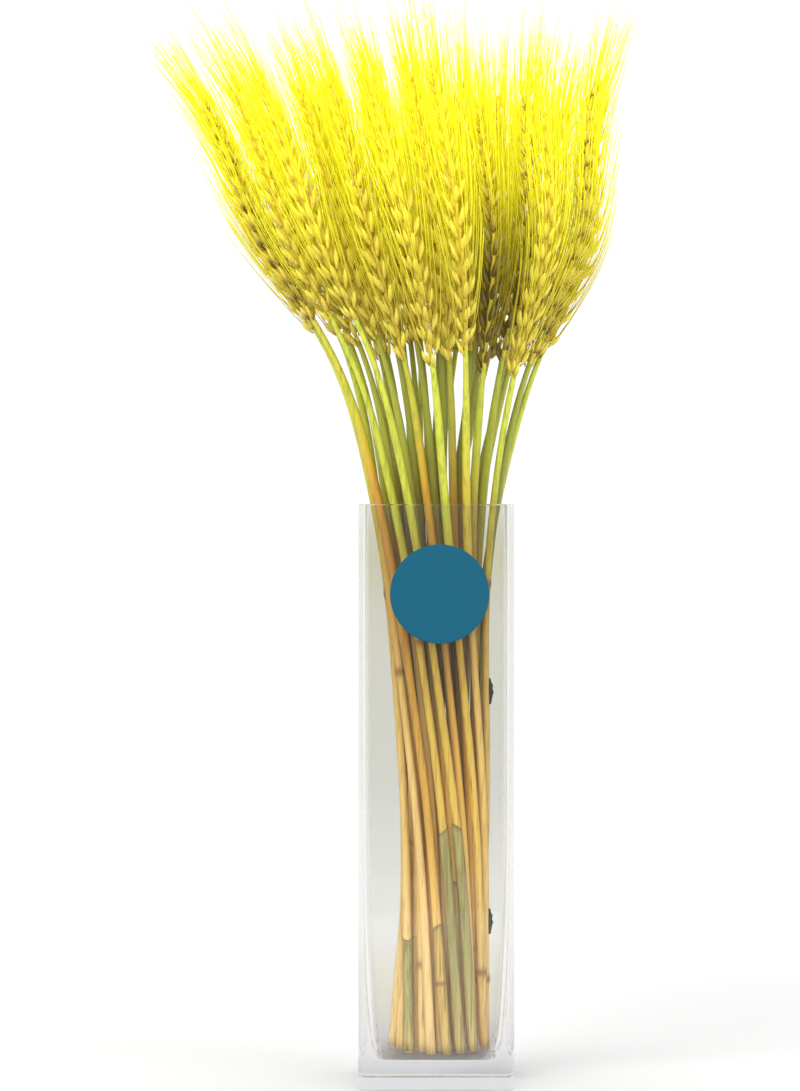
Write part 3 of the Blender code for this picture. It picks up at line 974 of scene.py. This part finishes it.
def glass_paint():
    """Clear glass, tinted by height to the brightness of the photograph. It isn't a real glass's tint: its
    bands are painted shade and painted light on the walls and the foot.

    The tint fades towards the front wall, so that it doesn't dim the stems.
    """
    paint = Paint("clear_glass")
    # Painted shade and light by height: greyer and lighter bands stand in for how the walls and the foot are
    # lit
    colour = paint.ramp(
        paint.height(0.0, VASE_HEIGHT),
        (0.0, (221, 220, 224)),
        (0.05, (222, 221, 225)),
        (0.08, (228, 225, 218)),
        (0.14, (232, 229, 212)),
        (0.24, (244, 244, 240)),
        (0.38, (238, 238, 231)),
        (0.52, (226, 226, 217)),
        (0.8, (222, 221, 207)),
        (0.91, (214, 212, 184)),
        (0.95, (218, 216, 194)),
        (1.0, (234, 234, 222)),
    )
    clear = paint.math("MULTIPLY", paint.place("Y", 36 * MM, -36 * MM), paint.height(14 * MM, 22 * MM))
    colour = paint.mix(clear, colour, (244, 244, 243))
    cloud = paint.noise(14, (1, 1, 0.4), 2.0)
    colour = paint.mix(paint.math("MULTIPLY", cloud, 0.08), colour, (214, 216, 212))
    paint.colour(colour)
    paint.set(Transmission_Weight=1.0, IOR=1.5, Roughness=0.0)
    return paint.material


def label_paint():
    paint = Paint("teal_paper")
    fibre = paint.noise(1400, (1, 1, 1), 5.0, 0.7)
    colour = paint.ramp(fibre, (0.3, (2, 70, 91)), (0.7, (5, 79, 101)))
    paint.colour(colour)
    paint.set(Roughness=0.55, Specular_IOR_Level=0.25)
    paint.bump(fibre, 0.03 * MM, 0.5)
    return paint.material


# Stage


def make_stage():
    """A wide white floor. It ends near in front, so that the front of the vase doesn't mirror it."""
    across = (-FLOOR_HALF_WIDTH, FLOOR_HALF_WIDTH)
    points = [(x, y, FLOOR_LEVEL) for y in (FLOOR_FRONT, FLOOR_BACK) for x in across]
    mesh = bpy.data.meshes.new("white_floor")
    mesh.from_pydata(points, [], [(0, 1, 3, 2)])
    paint = Paint("white_floor")
    paint.set(Base_Color=(FLOOR_WHITE, FLOOR_WHITE, FLOOR_WHITE, 1.0), Roughness=0.9, Specular_IOR_Level=0.1)
    mesh.materials.append(paint.material)
    floor = bpy.data.objects.new("white_floor", mesh)
    bpy.context.scene.collection.objects.link(floor)


def make_light(name, turn, rise, strength, softness, blockers):
    """A soft light from far away, turned from the front and raised.

    The vase doesn't block its light, and it is neither mirrored in the glass nor seen through it.
    """
    data = bpy.data.lights.new(name, "SUN")
    data.angle = softness
    data.energy = strength
    light = bpy.data.objects.new(name, data)
    light.rotation_euler = (math.pi / 2 - math.radians(rise), 0.0, math.radians(turn))
    light.visible_glossy = False
    light.visible_transmission = False
    bpy.context.scene.collection.objects.link(light)
    light.light_linking.blocker_collection = blockers


def unshaded_by(piece):
    """A list of what blocks light, which leaves out the piece."""
    blockers = bpy.data.collections.new("light_blockers")
    blockers.objects.link(piece)
    blockers.collection_objects[0].light_linking.link_state = "EXCLUDE"
    return blockers


def light_scene(glass):
    """A white room with four lamps. It is darker in front, so that the front of the glass stays clear."""
    world = bpy.data.worlds.new("studio")
    world.use_nodes = True
    tree = world.node_tree
    place = tree.nodes.new("ShaderNodeTexCoord")
    split = tree.nodes.new("ShaderNodeSeparateXYZ")
    span = tree.nodes.new("ShaderNodeMapRange")
    span.inputs["From Min"].default_value = WORLD_TURN[0]
    span.inputs["From Max"].default_value = WORLD_TURN[1]
    span.inputs["To Min"].default_value = WORLD_FRONT
    span.inputs["To Max"].default_value = WORLD_BACK
    tree.links.new(place.outputs["Generated"], split.inputs[0])
    tree.links.new(split.outputs["Y"], span.inputs["Value"])
    tree.links.new(span.outputs["Result"], tree.nodes["Background"].inputs["Strength"])
    tree.nodes["Background"].inputs["Color"].default_value = (1.0, 1.0, 1.0, 1.0)
    bpy.context.scene.world = world
    blockers = unshaded_by(glass)
    for lamp in LAMPS:
        make_light(*lamp, blockers)


def make_camera():
    data = bpy.data.cameras.new("camera")
    data.lens = CAMERA_LENS
    data.sensor_width = CAMERA_SENSOR
    data.clip_end = 50
    camera = bpy.data.objects.new("camera", data)
    camera.location = CAMERA_PLACE
    camera.rotation_euler = (math.pi / 2, 0, 0)
    bpy.context.scene.collection.objects.link(camera)
    bpy.context.scene.camera = camera


def set_look():
    scene = bpy.context.scene
    scene.view_settings.view_transform = "Standard"
    scene.cycles.max_bounces = BOUNCES
    scene.cycles.transmission_bounces = BOUNCES
    scene.cycles.glossy_bounces = BOUNCES


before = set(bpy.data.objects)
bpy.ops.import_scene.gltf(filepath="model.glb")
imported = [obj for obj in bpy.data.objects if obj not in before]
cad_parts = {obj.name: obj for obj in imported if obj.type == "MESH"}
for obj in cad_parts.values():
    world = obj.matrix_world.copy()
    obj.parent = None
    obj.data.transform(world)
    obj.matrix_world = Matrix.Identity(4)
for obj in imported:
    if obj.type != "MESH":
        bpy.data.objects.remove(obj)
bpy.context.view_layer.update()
make_camera()
make_stage()
set_look()
light_scene(make_vase(glass_paint()))
make_label(label_paint())
stalk_draw = random.Random(PATTERN_SEED)
stalk_paints = [culm_paint(), sheath_paint(), ear_paint(), awn_paint()]
bunch = [Stalk(number, seat, stalk_draw) for number, seat in enumerate(bunch_pattern(), start=1)]
dress_stalks(bunch)
for bunch_stalk in bunch:
    make_stalk(bunch_stalk, stalk_paints)
